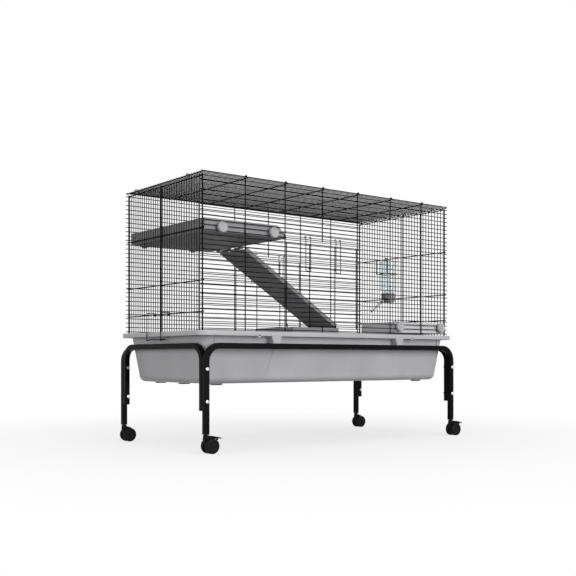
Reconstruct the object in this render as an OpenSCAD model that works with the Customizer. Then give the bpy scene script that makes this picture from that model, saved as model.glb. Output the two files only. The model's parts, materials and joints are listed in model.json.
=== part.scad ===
// Wire cage for small animals: a welded wire box over a plastic tray, on a wheeled tube stand.
// X runs along the length, Y runs from front to back, Z is up, and the wheels stand on Z = 0.

/* [Wire box] */
// Length between the corner ribs
cage_l = 914; // [900:1:928]
// Depth between the front and back bars
cage_d = 409; // [408:0.5:411]
// Distance from one bar to the next
bar_pitch = 12.8; // [12.7:0.1:12.9]
// Bars in a front or back panel
bar_count = 32; // [30:1:32]
// Thickness of the fine bars
bar_d = 2.4; // [2:0.1:2.4]
// Thickness of the ribs that the bars are welded to
rib_d = 3.2; // [3:0.1:3.4]
// Distance from one rib to the next in a front or back panel
rib_pitch = 134.4; // [133:0.2:135]
// Length of bar that sticks out past a corner rib
bar_stub = 8; // [5:1:9]

/* [Tray] */
// Height of the tray's rim above the floor
rim_top = 318; // [316:1:330]
// Overhang of the rim past the wire box
rim_over = 19; // [18:1:20]
// Height of the rim
rim_h = 13; // [12:1:14]
// Depth of the tray below its rim
tray_h = 127; // [120:1:129]
// Distance that each wall leans in from top to bottom
tray_lean = 18; // [17:1:22]
// Thickness of the tray's wall
tray_wall = 3; // [2.5:0.5:4]

/* [Stand] */
// Side of the square tube
tube_w = 15; // [14:0.5:15]
// Thickness of the tube's wall
tube_wall = 1.2; // [1:0.1:1.5]
// Radius of the bends, at the tube's centre line
bend_r = 40; // [36:1:44]
// Height of the top of the tubes
tube_top = 285.5; // [284:0.5:286]
// Height of the lower ends of the long legs
leg_bottom = 52; // [51:1:56]
// Height of the lower ends of the short legs
short_leg_bottom = 110; // [100:1:115]
// Heights of the screws that join the arches
screw_heights = [134, 218]; // [120:1:230]

/* [Casters] */
// Diameter of a wheel
wheel_d = 40; // [38:1:41]
// Width of one wheel
wheel_w = 12; // [11:0.5:13]
// Distance from the swivel to the axle
caster_trail = 13; // [11:0.5:14]

/* [Shelves] */
// Length of the upper platform
platform_l = 268; // [262:1:270]
// Height of the underside of the upper platform
platform_z = 577; // [575:1:579]
// Height of a shelf's wall
shelf_wall_h = 34; // [32:1:35]
// Length of the low shelf
low_shelf_l = 214; // [208:1:216]
// Depth of the low shelf
low_shelf_d = 150; // [120:1:170]
// Height of the flat landing at the foot of the ramp
landing_top = 343; // [342:0.5:344]
// Diameter of a clamp knob
knob_d = 30; // [28:1:32]

/* [Ramp] */
// Width of the ramp
ramp_w = 132; // [126:1:136]
// Slope of the ramp at rest
ramp_slope = 32; // [31.5:0.1:32.5]
// Length of the ramp from its hinge to its foot
ramp_l = 428; // [420:1:430]

/* [Bottle] */
// Diameter of the water bottle
bottle_d = 56; // [50:1:58]
// Length of the bottle's body
bottle_h = 128; // [110:1:135]

/* [Hidden] */
$fn = 32;

wire_black = "#1c1c1e";
tube_black = "#141416";
plastic_grey = "#b4b5b8";
shelf_grey = "#9c9da1";
knob_grey = "#c3c4c6";
zinc = "#d6d8da";
caster_black = "#1a1a1b";
clear_plastic = "#dfe6e8";

function rounded_points(w, h, r, n) = [
    for (c = [0:3]) for (i = [0:n])
        let (a = 90 * c + 90 * i / n, sx = (c == 0 || c == 3) ? 1 : -1, sy = c < 2 ? 1 : -1)
            [sx * (w / 2 - r) + r * cos(a), sy * (h / 2 - r) + r * sin(a)]
];
module at_cage() {
    translate([cage_x, 0, 0]) children();
}
// Straight wire from a to b
module wire(a, b, d) {
    v = b - a;
    len = norm(v);
    translate(a) rotate([0, acos(v[2] / len), atan2(v[1], v[0])]) cylinder(h = len, d = d);
}
// Arc of wire in the local XY plane, round the origin
module wire_arc(r, d, start, turn) {
    rotate([0, 0, start]) rotate_extrude(angle = turn) translate([r, 0]) circle(d = d);
}
// Wire through a list of points, bent at radius r round each point between its ends
module bent_wire(points, r, d) {
    last = len(points) - 1;
    function run(i) = (points[i + 1] - points[i]) / norm(points[i + 1] - points[i]);
    function turn(i) = acos(run(i - 1) * run(i));
    function cut(i) = (i == 0 || i == last) ? 0 : r * tan(turn(i) / 2);
    for (i = [0:last - 1])
        wire(points[i] + cut(i) * run(i), points[i + 1] - cut(i + 1) * run(i), d);
    for (i = [1:last - 1]) {
        ahead = run(i - 1);
        up = cross(ahead, run(i)) / norm(cross(ahead, run(i)));
        inward = cross(up, ahead);
        centre = points[i] - cut(i) * ahead + r * inward;
        multmatrix([for (k = [0:2]) [-inward[k], ahead[k], up[k], centre[k]]])
            wire_arc(r, d, 0, turn(i));
    }
}
// Eight-sided wire through a list of points, each run a little longer than its two ends
module kinked_wire(points, d) {
    last = len(points) - 1;
    for (i = [0:last - 1]) {
        ahead = (points[i + 1] - points[i]) / norm(points[i + 1] - points[i]);
        wire(points[i] - (i > 0 ? 0.4 * d : 0) * ahead,
            points[i + 1] + (i < last - 1 ? 0.4 * d : 0) * ahead, d, $fn = 8);
    }
}

// ---- Stand ----
long_leg_x = 461;
leg_y = 224;
short_leg_y = leg_y - tube_w - 0.2;
plug_h = 2;
screw_d = 5;
screw_head_d = 10;
module tube_section() {
    difference() {
        polygon(rounded_points(tube_w, tube_w, 2.4, 4));
        polygon(rounded_points(tube_w - 2 * tube_wall, tube_w - 2 * tube_wall, 1.4, 3));
    }
}
// One bent tube in the local XZ plane: a level top and two legs
module arch(half_span, bottom) {
    top = tube_top - tube_w / 2;
    translate([bend_r - half_span, 0, top]) rotate([0, 90, 0])
        linear_extrude(2 * (half_span - bend_r)) tube_section();
    for (side = [-1, 1]) {
        translate([side * half_span, 0, bottom]) linear_extrude(top - bend_r - bottom) tube_section();
        translate([side * (half_span - bend_r), 0, top - bend_r]) rotate([90, 0, 0])
            rotate([0, 0, side > 0 ? 0 : 90]) rotate_extrude(angle = 90)
                translate([bend_r, 0]) tube_section();
    }
}
module screw_hole(x, depth_y, z) {
    translate([x, 0, z]) rotate([90, 0, 0]) cylinder(h = 2 * depth_y, d = screw_d + 0.2, center = true);
}
module long_arch(y) {
    color(tube_black) at_cage() difference() {
        translate([0, y, 0]) arch(long_leg_x, leg_bottom);
        for (x = [-long_leg_x, long_leg_x]) for (z = screw_heights)
            screw_hole(x, leg_y + tube_w, z);
    }
}
module end_arch(x) {
    color(tube_black) at_cage() difference() {
        translate([x, 0, 0]) rotate([0, 0, 90]) arch(short_leg_y, short_leg_bottom);
        for (z = screw_heights) screw_hole(x, leg_y + tube_w, z);
    }
}
module front_arch() {
    long_arch(-leg_y);
}
module rear_arch() {
    long_arch(leg_y);
}
module left_end_arch() {
    end_arch(-long_leg_x);
}
module right_end_arch() {
    end_arch(long_leg_x);
}
module at_corner_joints() {
    for (sx = [-1, 1]) for (sy = [-1, 1]) for (z = screw_heights)
        translate([cage_x + sx * long_leg_x, sy * (leg_y + tube_w / 2), z])
            rotate([-sy * 90, 0, 0]) children();
}
joint_grip = 2 * tube_w + 0.2;
module frame_screws() {
    color(zinc) at_corner_joints() {
        translate([0, 0, -joint_grip - 5]) cylinder(h = joint_grip + 6, d = screw_d);
        difference() {
            rotate_extrude() polygon([[0, 0], [screw_head_d / 2, 0], [screw_head_d / 2, 1.2],
                [screw_head_d / 2 - 0.9, 2.4], [screw_head_d / 2 - 2.2, 3.1], [0, 3.4]]);
            for (a = [0, 90]) rotate([0, 0, a]) translate([-3, -0.6, 2]) cube([6, 1.2, 2]);
        }
    }
}
module frame_nuts() {
    color(zinc) at_corner_joints() translate([0, 0, -joint_grip - 4]) difference() {
        cylinder(h = 4, d = 9.2, $fn = 6);
        translate([0, 0, -1]) cylinder(h = 6, d = screw_d + 0.1);
    }
}

// ---- Casters ----
axle_z = wheel_d / 2;
fork_w = 8;
wheel_gap = 0.4;
stem_d = 8;
fork_top = leg_bottom - 3.4;
neck_h = 9;
brake_pivot_r = 24;
brake_pivot_a = 62;
brake_pin_d = 3;
axle_d = 5;
hub_cover = 1.6;
module at_leg(sx, sy) {
    translate([cage_x + sx * long_leg_x, sy * leg_y, 0]) children();
}
module leg_plugs() {
    color(caster_black) for (sx = [-1, 1]) for (sy = [-1, 1]) at_leg(sx, sy) {
        translate([0, 0, leg_bottom - plug_h]) linear_extrude(plug_h)
            polygon(rounded_points(tube_w, tube_w, 2.4, 4));
        translate([0, 0, leg_bottom]) linear_extrude(24)
            polygon(rounded_points(tube_w - 2 * tube_wall - 0.4, tube_w - 2 * tube_wall - 0.4, 1.2, 3));
        translate([0, 0, fork_top - neck_h + 1])
            cylinder(h = neck_h + leg_bottom - fork_top, d = stem_d);
    }
}
// The middle web that carries the axle and swivels on the stem
module fork(sx, sy, braked) {
    color(caster_black) at_leg(sx, sy) difference() {
        union() {
            translate([0, 0, fork_top - neck_h]) cylinder(h = neck_h, d = 15);
            translate([caster_trail, fork_w / 2, axle_z]) rotate([90, 0, 0]) cylinder(h = fork_w, r = 15);
            translate([0, fork_w / 2, axle_z]) rotate([90, 0, 0]) linear_extrude(fork_w)
                polygon([[-7, 16], [-7, 22], [3, 26.6], [caster_trail + 8, 21], [caster_trail + 12, 8],
                    [caster_trail, -12], [caster_trail - 13, -6]]);
            if (braked) translate([caster_trail, fork_w / 2, axle_z]) rotate([90, 0, 0])
                rotate([0, 0, brake_pivot_a]) translate([brake_pivot_r, 0, 0]) {
                    cylinder(h = fork_w, r = 3.2);
                    translate([-10, -3, 0]) cube([10, 6, fork_w]);
                }
        }
        translate([0, 0, fork_top - neck_h + 0.5]) cylinder(h = 20, d = stem_d + 0.12);
        translate([caster_trail, 0, axle_z]) rotate([90, 0, 0])
            cylinder(h = 60, d = axle_d, center = true);
        if (braked) translate([caster_trail, 0, axle_z]) rotate([90, 0, 0])
            rotate([0, 0, brake_pivot_a]) translate([brake_pivot_r, 0, 0])
                cylinder(h = 60, d = brake_pin_d + 0.12, center = true);
    }
}
// Two wheels on one axle, each with a rounded tread, a dished face and a hub that covers the axle
module wheels(sx, sy) {
    inner = fork_w / 2 + wheel_gap;
    hub_end = inner + wheel_w - 0.6;
    color(caster_black) at_leg(sx, sy) translate([caster_trail, 0, axle_z])
        for (side = [-1, 1]) rotate([side * 90, 0, 0]) rotate_extrude(angle = 360)
            polygon([[axle_d / 2 + 0.06, inner], [wheel_d / 2 - 1, inner], [wheel_d / 2, inner + 1.4],
                [wheel_d / 2, inner + wheel_w - 3.4], [wheel_d / 2 - 0.8, inner + wheel_w - 1.7],
                [wheel_d / 2 - 2.6, inner + wheel_w - 0.6], [13.2, inner + wheel_w],
                [12.4, inner + wheel_w - 1.4], [6, inner + wheel_w - 1.9], [5.2, hub_end], [0, hub_end],
                [0, hub_end - hub_cover], [axle_d / 2 + 0.06, hub_end - hub_cover]]);
}
module axle(sx, sy) {
    color(zinc) at_leg(sx, sy) translate([caster_trail, 0, axle_z]) rotate([90, 0, 0])
        cylinder(h = 2 * (fork_w / 2 + wheel_gap + wheel_w - 0.8 - hub_cover), d = axle_d, center = true);
}
// Foot lever that presses on both wheels when its tab is pushed down
module brake(sx, sy) {
    lever_w = 24;
    ear_side = 0.4;
    ear = (lever_w - fork_w) / 2 - 0.4 - 2 * ear_side;
    pad_in = 5.6;
    pad_out = 11.2;
    color(caster_black) at_leg(sx, sy) translate([caster_trail, 0, axle_z]) rotate([90, 0, 0]) {
        difference() {
            linear_extrude(lever_w, center = true)
                polygon([[3, 23.4], [26.4, 18.2], [28, 18.6], [28.2, 20.2], [26.8, 21], [4, 26]]);
            translate([6.6, 15, -fork_w / 2 - 0.4]) cube([9.6, 14, fork_w + 0.8]);
        }
        // Pads that come down on the treads
        for (start = [-pad_out, pad_in]) translate([0, 0, start]) linear_extrude(pad_out - pad_in)
            polygon([[13.2, 22], [18.5, 20.9], [17.6, 15.5], [15.6, 15.2]]);
        rotate([0, 0, brake_pivot_a]) translate([brake_pivot_r, 0, 0]) {
            cylinder(h = lever_w - 2, d = brake_pin_d, center = true);
            for (side = [-1, 1]) translate([0, 0, side * (fork_w / 2 + 0.4 + ear_side + ear / 2)])
                cylinder(h = ear, r = 2.6, center = true);
        }
    }
}
module front_left_fork() {
    fork(-1, -1, true);
}
module front_right_fork() {
    fork(1, -1, true);
}
module back_left_fork() {
    fork(-1, 1, false);
}
module back_right_fork() {
    fork(1, 1, false);
}
module front_left_wheels() {
    wheels(-1, -1);
}
module front_right_wheels() {
    wheels(1, -1);
}
module back_left_wheels() {
    wheels(-1, 1);
}
module back_right_wheels() {
    wheels(1, 1);
}
module front_left_axle() {
    axle(-1, -1);
}
module front_right_axle() {
    axle(1, -1);
}
module back_left_axle() {
    axle(-1, 1);
}
module back_right_axle() {
    axle(1, 1);
}
module front_left_brake() {
    brake(-1, -1);
}
module front_right_brake() {
    brake(1, -1);
}

// ---- Tray ----
rim_half_x = cage_l / 2 + rim_over;
rim_half_y = cage_d / 2 + rim_over;
rim_bottom = rim_top - rim_h;
ledge_top = rim_top - 6;
wall_half_x = cage_l / 2 - 0.5;
wall_half_y = cage_d / 2 - 0.5;
tray_bottom = rim_bottom - tray_h;
tray_corner_r = 30;
tray_base_r = 20;
lug_x = 233;
nub_x = 290;
post_x = 420;
pad_h = 4.5;
pad_l = 32;
pad_w = 16;
// Feet under the corners, and one under the middle of each end
pad_places = concat([for (x = [-380, 380]) for (y = [-148, 148]) [x, y]], [[-390, 0], [390, 0]]);
// Solid that fills the tray's outer or inner walls
module tray_mass(inset, floor_up) {
    hull() {
        for (sx = [-1, 1]) for (sy = [-1, 1]) {
            translate([sx * (wall_half_x - tray_corner_r), sy * (wall_half_y - tray_corner_r), ledge_top - 4])
                cylinder(h = 4 + floor_up, r = tray_corner_r - inset);
            translate([sx * (wall_half_x - tray_lean - tray_base_r),
                sy * (wall_half_y - tray_lean - tray_base_r), tray_bottom + tray_base_r])
                sphere(r = tray_base_r - inset);
        }
    }
}
module rim_band(half_grow, z0, z1) {
    translate([0, 0, z0]) linear_extrude(z1 - z0)
        polygon(rounded_points(2 * (rim_half_x + half_grow), 2 * (rim_half_y + half_grow),
            28 + half_grow, 8));
}
module tray() {
    color(plastic_grey) at_cage() {
        difference() {
            union() {
                tray_mass(0, 0);
                difference() {
                    rim_band(0, rim_bottom, rim_top);
                    rim_band(-3, ledge_top, rim_top + 1);
                    rim_band(-3, rim_bottom - 1, ledge_top - 3);
                }
            }
            tray_mass(tray_wall, 10);
        }
        for (sy = [-1, 1]) {
            for (sx = [-1, 1]) {
                // Lug that sits on the stand's tube
                translate([sx * lug_x, sy * (wall_half_y + 9), tube_top]) rotate([90, 0, 0])
                    linear_extrude(24, center = true) polygon([[-11.5, 0], [11.5, 0],
                        [17.5, ledge_top - tube_top - 3], [-17.5, ledge_top - tube_top - 3]]);
                // Nub under the rim's edge
                translate([sx * nub_x, sy * (rim_half_y - 1.5), rim_bottom + 0.4]) rotate([90, 0, 0])
                    cylinder(h = 3, d = 10, center = true);
                // Post at the end of the long wall
                translate([sx * post_x - 1.5, sy * (wall_half_y - 3) - 3.5, tube_top - 18])
                    cube([3, 7, ledge_top - tube_top + 16]);
            }
        }
        for (place = pad_places)
            translate([place[0], place[1], tray_bottom - pad_h]) linear_extrude(pad_h + 1)
                polygon(rounded_points(pad_l, pad_w, 5, 4));
    }
}

// ---- Wire panels ----
weld = bar_d / 2 + rib_d / 2 - 0.35;
bar_y = -cage_d / 2;
rib_y = bar_y + weld;
half_l = cage_l / 2;
bar_end = half_l + bar_stub;
wire_foot = ledge_top + 0.5;
hinge_bar = 1;
door_top_bar = 19;
hook_bar = 20;
door_ribs = [2, 4];
roof_z = rim_top + 412;
hook_r = rib_d + 0.2;
function bar_z(k) = rim_top + 5.5 + k * bar_pitch;
function rib_x(i) = i < 7 ? -half_l + i * rib_pitch : half_l;
sill_top = bar_z(hinge_bar) + bar_pitch / 2;
header_bottom = bar_z(hook_bar) - bar_pitch / 2;
wire_top = roof_z - 6;
door_x = (rib_x(door_ribs[0]) + rib_x(door_ribs[1])) / 2;
// Level bars k0 to k1 between two ends, on ribs that run from z0 to z1
module grille(x0, x1, k0, k1, ribs, z0, z1) {
    for (k = [k0:k1]) wire([x0, bar_y, bar_z(k)], [x1, bar_y, bar_z(k)], bar_d);
    for (i = ribs) wire([rib_x(i), rib_y, z0], [rib_x(i), rib_y, z1], rib_d);
}
module panel_sill() {
    grille(-bar_end, bar_end, 0, hinge_bar, [0, 1, 2, 4, 5, 6, 7], wire_foot, sill_top);
    wire([rib_x(3), rib_y, wire_foot], [rib_x(3), rib_y, bar_z(hinge_bar) + 1], rib_d);
}
module panel_left() {
    grille(-bar_end, rib_x(door_ribs[0]) + rib_d / 2, hinge_bar + 1, door_top_bar,
        [0, 1, 2], sill_top, header_bottom);
}
module panel_right() {
    grille(rib_x(door_ribs[1]) - rib_d / 2, bar_end, hinge_bar + 1, door_top_bar,
        [4, 5, 6, 7], sill_top, header_bottom);
}
// The ribs' tops curl out over the roof's edge wire
module panel_header() {
    grille(-bar_end, bar_end, hook_bar, bar_count - 1, [0, 7], header_bottom, wire_top);
    for (i = [1:6]) {
        foot = i == 3 ? bar_z(hook_bar) - 2 : header_bottom;
        wire([rib_x(i), rib_y, foot], [rib_x(i), rib_y, roof_z], rib_d);
        translate([rib_x(i), rib_y - hook_r, roof_z]) rotate([90, 0, 90]) wire_arc(hook_r, rib_d, 0, 165);
    }
}
module front_side() {
    color(wire_black) at_cage() children();
}
module back_side() {
    color(wire_black) at_cage() rotate([0, 0, 180]) children();
}
module front_panel_sill() {
    front_side() panel_sill();
}
module front_panel_left() {
    front_side() panel_left();
}
module front_panel_right() {
    front_side() panel_right();
}
module front_panel_header() {
    front_side() panel_header();
}
module back_panel_sill() {
    back_side() panel_sill();
}
module back_panel_left() {
    back_side() panel_left();
}
module back_panel_right() {
    back_side() panel_right();
}
module back_panel_header() {
    back_side() panel_header();
}

// ---- Doors ----
door_rib_d = 2.8;
door_weld = bar_d / 2 + door_rib_d / 2 - 0.3;
door_rib_y = bar_y + door_weld;
door_gap = 1.2;
door_half = (rib_x(door_ribs[1]) - rib_x(door_ribs[0]) - rib_d) / 2 - door_gap;
door_side_rib = door_half - door_rib_d / 2 - 0.5;
door_inner_rib = 47;
eye_r = bar_d / 2 + door_rib_d / 2 + 0.35;
module door() {
    hinge_z = bar_z(hinge_bar);
    for (k = [hinge_bar + 1:door_top_bar])
        wire([door_x - door_half, bar_y, bar_z(k)], [door_x + door_half, bar_y, bar_z(k)],
            k == door_top_bar ? door_rib_d : bar_d);
    for (x = [-door_side_rib, -door_inner_rib, door_inner_rib, door_side_rib]) {
        wire([door_x + x, door_rib_y, hinge_z + 1.2], [door_x + x, door_rib_y, bar_z(door_top_bar) + 1.8],
            door_rib_d);
        translate([door_x + x, bar_y, hinge_z]) rotate([90, 0, 90]) wire_arc(eye_r, door_rib_d, 20, -300);
    }
}
module front_door() {
    front_side() door();
}
module back_door() {
    back_side() door();
}

// ---- Door latches ----
latch_d = 2.2;
latch_y = bar_y - bar_d / 2 - latch_d / 2 - 0.4;
latch_width = 17.6;
latch_travel = 6;
latch_top = bar_z(hook_bar) + bar_d / 2 + latch_d / 2 + 0.4 + latch_travel;
latch_ring_z = bar_z(13) + 9.1;
latch_foot = latch_ring_z - 8;
latch_tail = 5.4;
latch_ring_r = 3.4;
latch_back_y = bar_y + bar_d / 2 + latch_d / 2 + 0.4;
// U of wire that slides on the door's rib, drawn lifted off the bar that its two tails hook over
module latch(side) {
    rib = door_x + side * door_inner_rib;
    outer = rib + side * latch_width;
    bent_wire([
        [rib, latch_back_y, latch_top - latch_tail], [rib, latch_back_y, latch_top],
        [rib, latch_y, latch_top], [rib, latch_y, latch_foot],
        [outer, latch_y, latch_foot], [outer, latch_y, latch_top],
        [outer, latch_back_y, latch_top], [outer, latch_back_y, latch_top - latch_tail]
    ], 2.4, latch_d);
    translate([rib, door_rib_y, latch_ring_z]) wire_arc(latch_ring_r, latch_d, 0, 360);
}
module front_latch_left() {
    front_side() latch(-1);
}
module front_latch_right() {
    front_side() latch(1);
}
module back_latch_left() {
    back_side() latch(1);
}
module back_latch_right() {
    back_side() latch(-1);
}

// ---- End panels ----
end_rib_x = -half_l + 3.4;
end_bar_x = end_rib_x - weld;
end_bars = 32;
end_levels = [3.4, 9.75, 20.45];
mid_wire_d = 3.2;
mid_wire_y = bar_pitch;
roof_end_x = -half_l - 4;
roof_rib_z = roof_z - weld;
function end_bar_y(j) = (j - (end_bars - 1) / 2) * bar_pitch;
// Hook on an end panel's top, over the roof's end wire
module end_hook(j) {
    translate([roof_end_x, end_bar_y(j), roof_rib_z]) rotate([90, 0, 0])
        wire_arc(end_bar_x - roof_end_x, bar_d, 0, 170);
}
module end_panel(hooks) {
    for (j = [0:end_bars - 1]) {
        hooked = len(search(j, hooks)) > 0;
        wire([end_bar_x, end_bar_y(j), wire_foot],
            [end_bar_x, end_bar_y(j), hooked ? roof_rib_z : wire_top], bar_d);
        if (hooked) end_hook(j);
    }
    wire([end_bar_x, mid_wire_y, wire_foot], [end_bar_x, mid_wire_y, wire_top], mid_wire_d);
    for (z = [ledge_top + 3, wire_top - 3])
        wire([end_rib_x, end_bar_y(0) - 1.5, z], [end_rib_x, end_bar_y(end_bars - 1) + 1.5, z], rib_d);
    // The middle cross wires curl round the corner ribs of the long panels
    for (k = end_levels) {
        wire([end_rib_x, rib_y, bar_z(k)], [end_rib_x, -rib_y, bar_z(k)], rib_d);
        for (side = [-1, 1]) translate([-half_l, -side * rib_y, bar_z(k)])
            wire_arc(hook_r, rib_d, 0, side * 165);
    }
}
module left_end_panel() {
    front_side() end_panel([5, 27]);
}
module right_end_panel() {
    back_side() end_panel([5, 17, 27]);
}

// ---- Roof ----
roof_bars = 31;
module roof_panel() {
    edge_y = rib_y - hook_r;
    front_side() {
        for (j = [0:roof_bars - 1]) {
            y = (j - (roof_bars - 1) / 2) * bar_pitch;
            wire([roof_end_x, y, roof_z], [-roof_end_x, y, roof_z], bar_d);
        }
        for (y = [edge_y, -edge_y]) wire([roof_end_x - 1.6, y, roof_z], [-roof_end_x + 1.6, y, roof_z], rib_d);
        for (x = concat([roof_end_x, -roof_end_x], [for (i = [1:6]) rib_x(i) + 4]))
            wire([x, edge_y - 1.2, roof_rib_z], [x, -edge_y + 1.2, roof_rib_z], rib_d);
    }
}

// ---- Tray latches ----
bail_d = 2.6;
bail_half = 3 * bar_pitch;
bail_pivot_z = bar_z(end_levels[0]);
bail_eye_d = bail_d + 0.4;
bail_eye_r = rib_d / 2 + bail_eye_d / 2 + 0.35;
bail_out_x = -rim_half_x - 4;
bail_toe_x = -rim_half_x + 10;
bail_foot_z = rim_bottom - 11;
// Half of the bail's route: out from the top of its eye, down past the rim, and in to its toe
function bail_side(y) = [
    [end_rib_x, y, bail_pivot_z + bail_eye_r], [bail_out_x, y, bail_pivot_z + bail_eye_r],
    [bail_out_x, y, bail_foot_z], [bail_toe_x, y, bail_foot_z + 4]
];
// Wire bail that hangs on an end panel's lowest cross wire and hooks under the tray's rim
module tray_latch() {
    left = mid_wire_y - bail_half;
    right = mid_wire_y + bail_half;
    way_back = bail_side(right);
    kinked_wire(concat(bail_side(left), [for (i = [3:-1:0]) way_back[i]]), bail_d);
    for (y = [left, right]) translate([end_rib_x, y, bail_pivot_z]) rotate([90, 0, 0])
        wire_arc(bail_eye_r, bail_eye_d, 95, -265);
}
module left_tray_latch() {
    front_side() tray_latch();
}
module right_tray_latch() {
    back_side() tray_latch();
}

// ---- Shelves, knobs and ramp ----
shelf_wall = 2.4;
inner_y = -rib_y - rib_d / 2 - 0.6;
platform_x0 = -half_l + 6.5;
platform_x1 = platform_x0 + platform_l;
low_shelf_x1 = half_l - 6.5;
low_shelf_x0 = low_shelf_x1 - low_shelf_l;
low_shelf_z = 323;
landing_x0 = 5;
landing_x1 = 190;
landing_y0 = 8;
landing_h = 20;
knob_screw_d = 5;
platform_knob_z = bar_z(hook_bar) + bar_pitch / 2 + 2.1;
low_knob_z = bar_z(hinge_bar) + bar_pitch / 2 - 0.6;
ramp_pivot = [platform_x1 + 4, platform_z - 5];
ramp_y0 = 14;
ramp_pin_d = 5;
module knob_hole(x, z, side) {
    translate([x, side * inner_y, z]) rotate([90, 0, 0])
        cylinder(h = 60, d = knob_screw_d + 0.12, center = true);
}
// Boss behind a wall, where a knob's screw ends
module knob_boss(x, z, side) {
    translate([x, side * (inner_y - 5.5), z]) rotate([90, 0, 0]) cylinder(h = 10, d = 12, center = true);
}
// Open tray: floor and four walls, with the wall at its right-hand end cut down
module platform() {
    d = 2 * inner_y;
    drop = 30;
    color(shelf_grey) at_cage() difference() {
        union() {
            translate([platform_x0, -inner_y, platform_z]) cube([platform_l, d, shelf_wall]);
            for (y = [-inner_y, inner_y - shelf_wall]) translate([0, y + shelf_wall, 0]) rotate([90, 0, 0])
                linear_extrude(shelf_wall) polygon([[platform_x0, platform_z],
                    [platform_x1, platform_z], [platform_x1, platform_z + 8],
                    [platform_x1 - drop, platform_z + shelf_wall_h], [platform_x0, platform_z + shelf_wall_h]]);
            translate([platform_x0, -inner_y, platform_z]) cube([shelf_wall, d, shelf_wall_h]);
            translate([platform_x1 - shelf_wall, -inner_y, platform_z]) cube([shelf_wall, d, 8]);
            for (x = [platform_x0 + 50, platform_x0 + 218]) for (side = [-1, 1])
                knob_boss(x, platform_knob_z, side);
            // Rail that the ramp clips on, with its three brackets
            translate([ramp_pivot[0], ramp_y0 + 4, ramp_pivot[1]]) rotate([-90, 0, 0])
                cylinder(h = ramp_w - 8, d = ramp_pin_d);
            for (y = [ramp_y0 + 4, ramp_y0 + ramp_w / 2 - 3, ramp_y0 + ramp_w - 10])
                translate([platform_x1 - 7, y, platform_z - 7.5]) cube([11, 6, 9]);
        }
        for (x = [platform_x0 + 50, platform_x0 + 218]) for (side = [-1, 1])
            knob_hole(x, platform_knob_z, side);
        for (y = [-9, 86]) translate([platform_x0 + 209, y, platform_z - 1]) cylinder(h = 6, d = 9);
    }
}
// Low shelf with a wall on all four sides, on the front panel
module low_shelf() {
    color(shelf_grey) at_cage() difference() {
        union() {
            translate([low_shelf_x0, -inner_y, low_shelf_z]) difference() {
                cube([low_shelf_l, low_shelf_d, shelf_wall_h]);
                translate([shelf_wall, shelf_wall, shelf_wall])
                    cube([low_shelf_l - 2 * shelf_wall, low_shelf_d - 2 * shelf_wall, shelf_wall_h]);
            }
            for (x = [low_shelf_x0 + 13, low_shelf_x0 + 195]) knob_boss(x, low_knob_z, -1);
        }
        for (x = [low_shelf_x0 + 13, low_shelf_x0 + 195]) knob_hole(x, low_knob_z, -1);
    }
}
// Flat step under the ramp's foot, hooked over the lowest bar of the back panel
module landing_shelf() {
    w = landing_x1 - landing_x0;
    d = inner_y - landing_y0;
    hook_y = -bar_y + bar_d / 2 + 0.4;
    hook_z = bar_z(0) + bar_d / 2 + 0.6;
    color(shelf_grey) at_cage() {
        translate([landing_x0, landing_y0, landing_top - landing_h]) difference() {
            cube([w, d, landing_h]);
            translate([shelf_wall, shelf_wall, -shelf_wall])
                cube([w - 2 * shelf_wall, d - 2 * shelf_wall, landing_h]);
        }
        for (x = [landing_x0 + 15, landing_x0 + 135]) {
            translate([x, inner_y - 1, hook_z]) cube([12, hook_y + 3.2 - inner_y, 5.8]);
            translate([x, hook_y, hook_z - 5.7]) cube([12, 2.2, 11.5]);
        }
    }
}
// Fluted knob outside the bars, with its screw through them into a shelf's wall
module knob(x, z, side) {
    outer = -bar_y + bar_d / 2 + 0.4;
    grip = outer - inner_y + 9;
    color(knob_grey) at_cage() translate([x, side * outer, z]) rotate([-side * 90, 0, 0]) {
        difference() {
            rotate_extrude() polygon([[0, 0], [knob_d / 2, 0], [knob_d / 2, 7], [knob_d / 2 - 1.4, 9.2],
                [knob_d / 2 - 3.4, 10], [8, 9.4], [0, 9.4]]);
            for (a = [0:30:330]) rotate([0, 0, a]) translate([knob_d / 2 + 2.2, 0, -1])
                cylinder(h = 12, d = 6);
        }
        translate([0, 0, -grip]) cylinder(h = grip + 1, d = knob_screw_d);
    }
}
module platform_knob_front_left() {
    knob(platform_x0 + 50, platform_knob_z, -1);
}
module platform_knob_front_right() {
    knob(platform_x0 + 218, platform_knob_z, -1);
}
module platform_knob_back_left() {
    knob(platform_x0 + 50, platform_knob_z, 1);
}
module platform_knob_back_right() {
    knob(platform_x0 + 218, platform_knob_z, 1);
}
module low_shelf_knob_left() {
    knob(low_shelf_x0 + 13, low_knob_z, -1);
}
module low_shelf_knob_right() {
    knob(low_shelf_x0 + 195, low_knob_z, -1);
}
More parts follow.
